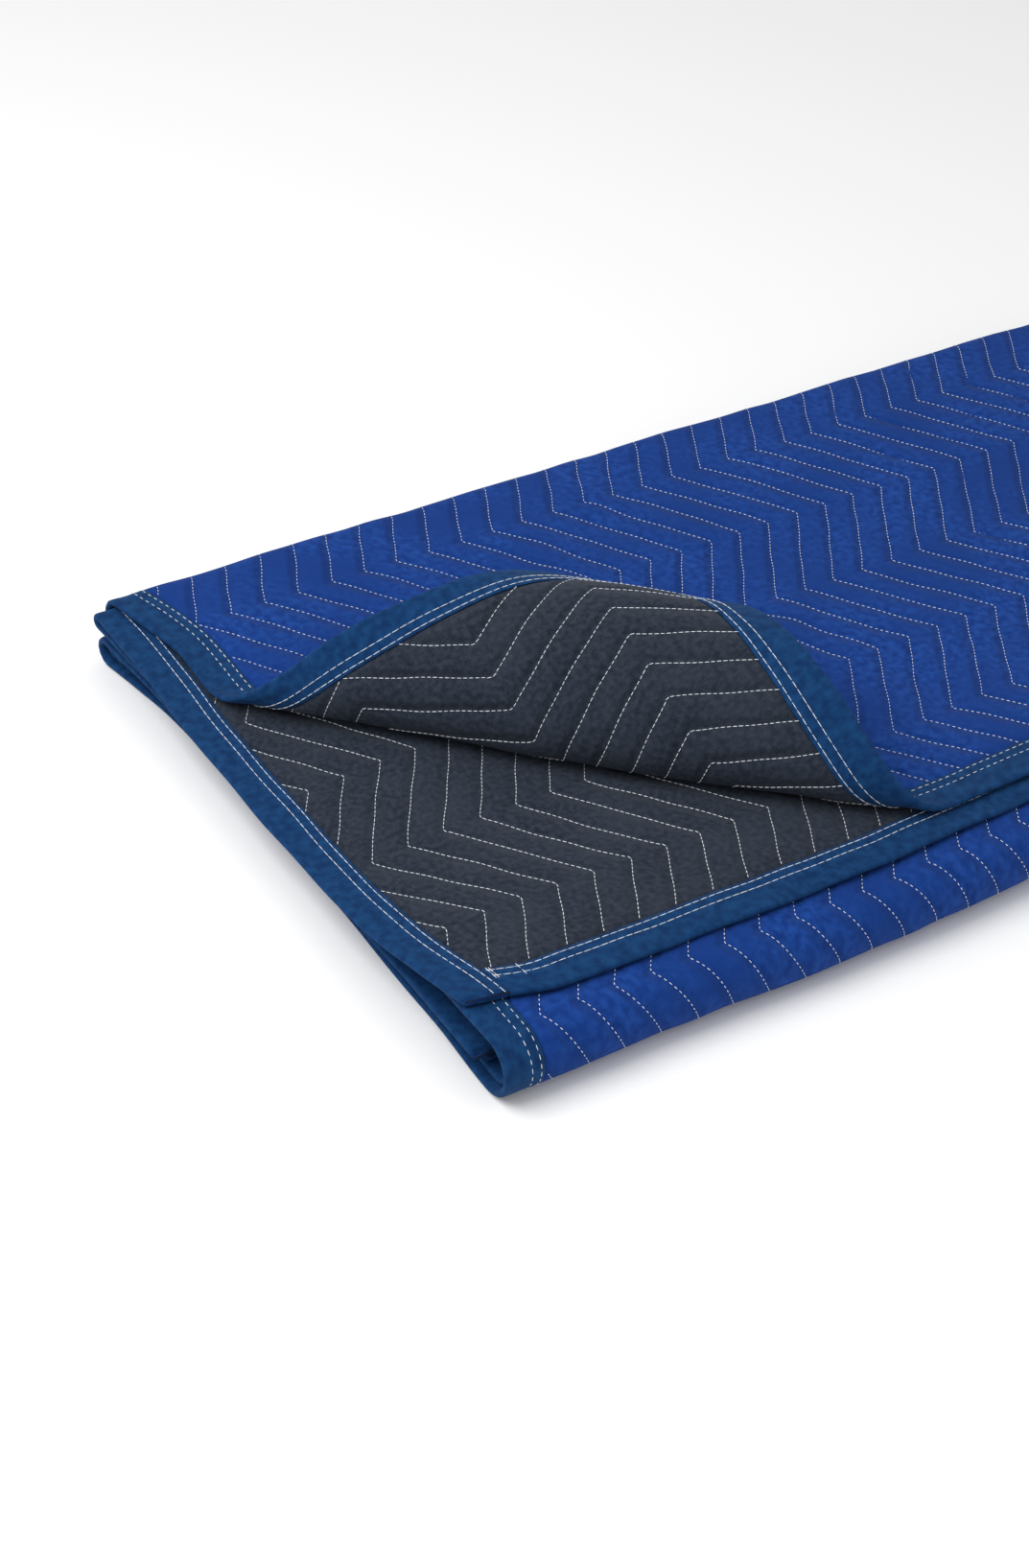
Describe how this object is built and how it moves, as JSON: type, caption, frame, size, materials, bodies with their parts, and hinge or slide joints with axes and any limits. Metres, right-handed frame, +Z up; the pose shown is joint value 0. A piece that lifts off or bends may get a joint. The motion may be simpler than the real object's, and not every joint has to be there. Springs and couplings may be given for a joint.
{
  "type": "moving blanket",
  "caption": "Quilted moving blanket folded into a flat stack, blue outside and charcoal inside, bound edges, with one corner turned back.",
  "frame": {"origin": "middle of the bounding box in X and Y, on the plane that the blanket lies on", "axes": "+X along the folded length, from the bound ends to the crosswise fold; +Y from the front fold to the back folds; +Z up"},
  "size_m": [0.9282, 0.5076, 0.1297],
  "materials": {
    "face": "matt blue non-woven, chevron quilted with white thread",
    "backing": "matt charcoal knit, chevron quilted with white thread",
    "binding": "teal-blue twill strip, two rows of white stitches"
  },
  "bodies": {
    "root": {"face_panel": "face", "backing_panel": "backing", "end_binding_upper": "binding", "end_binding_lower": "binding", "side_binding_outer": "binding", "side_binding_inner": "binding"}
  },
  "joints": []
}
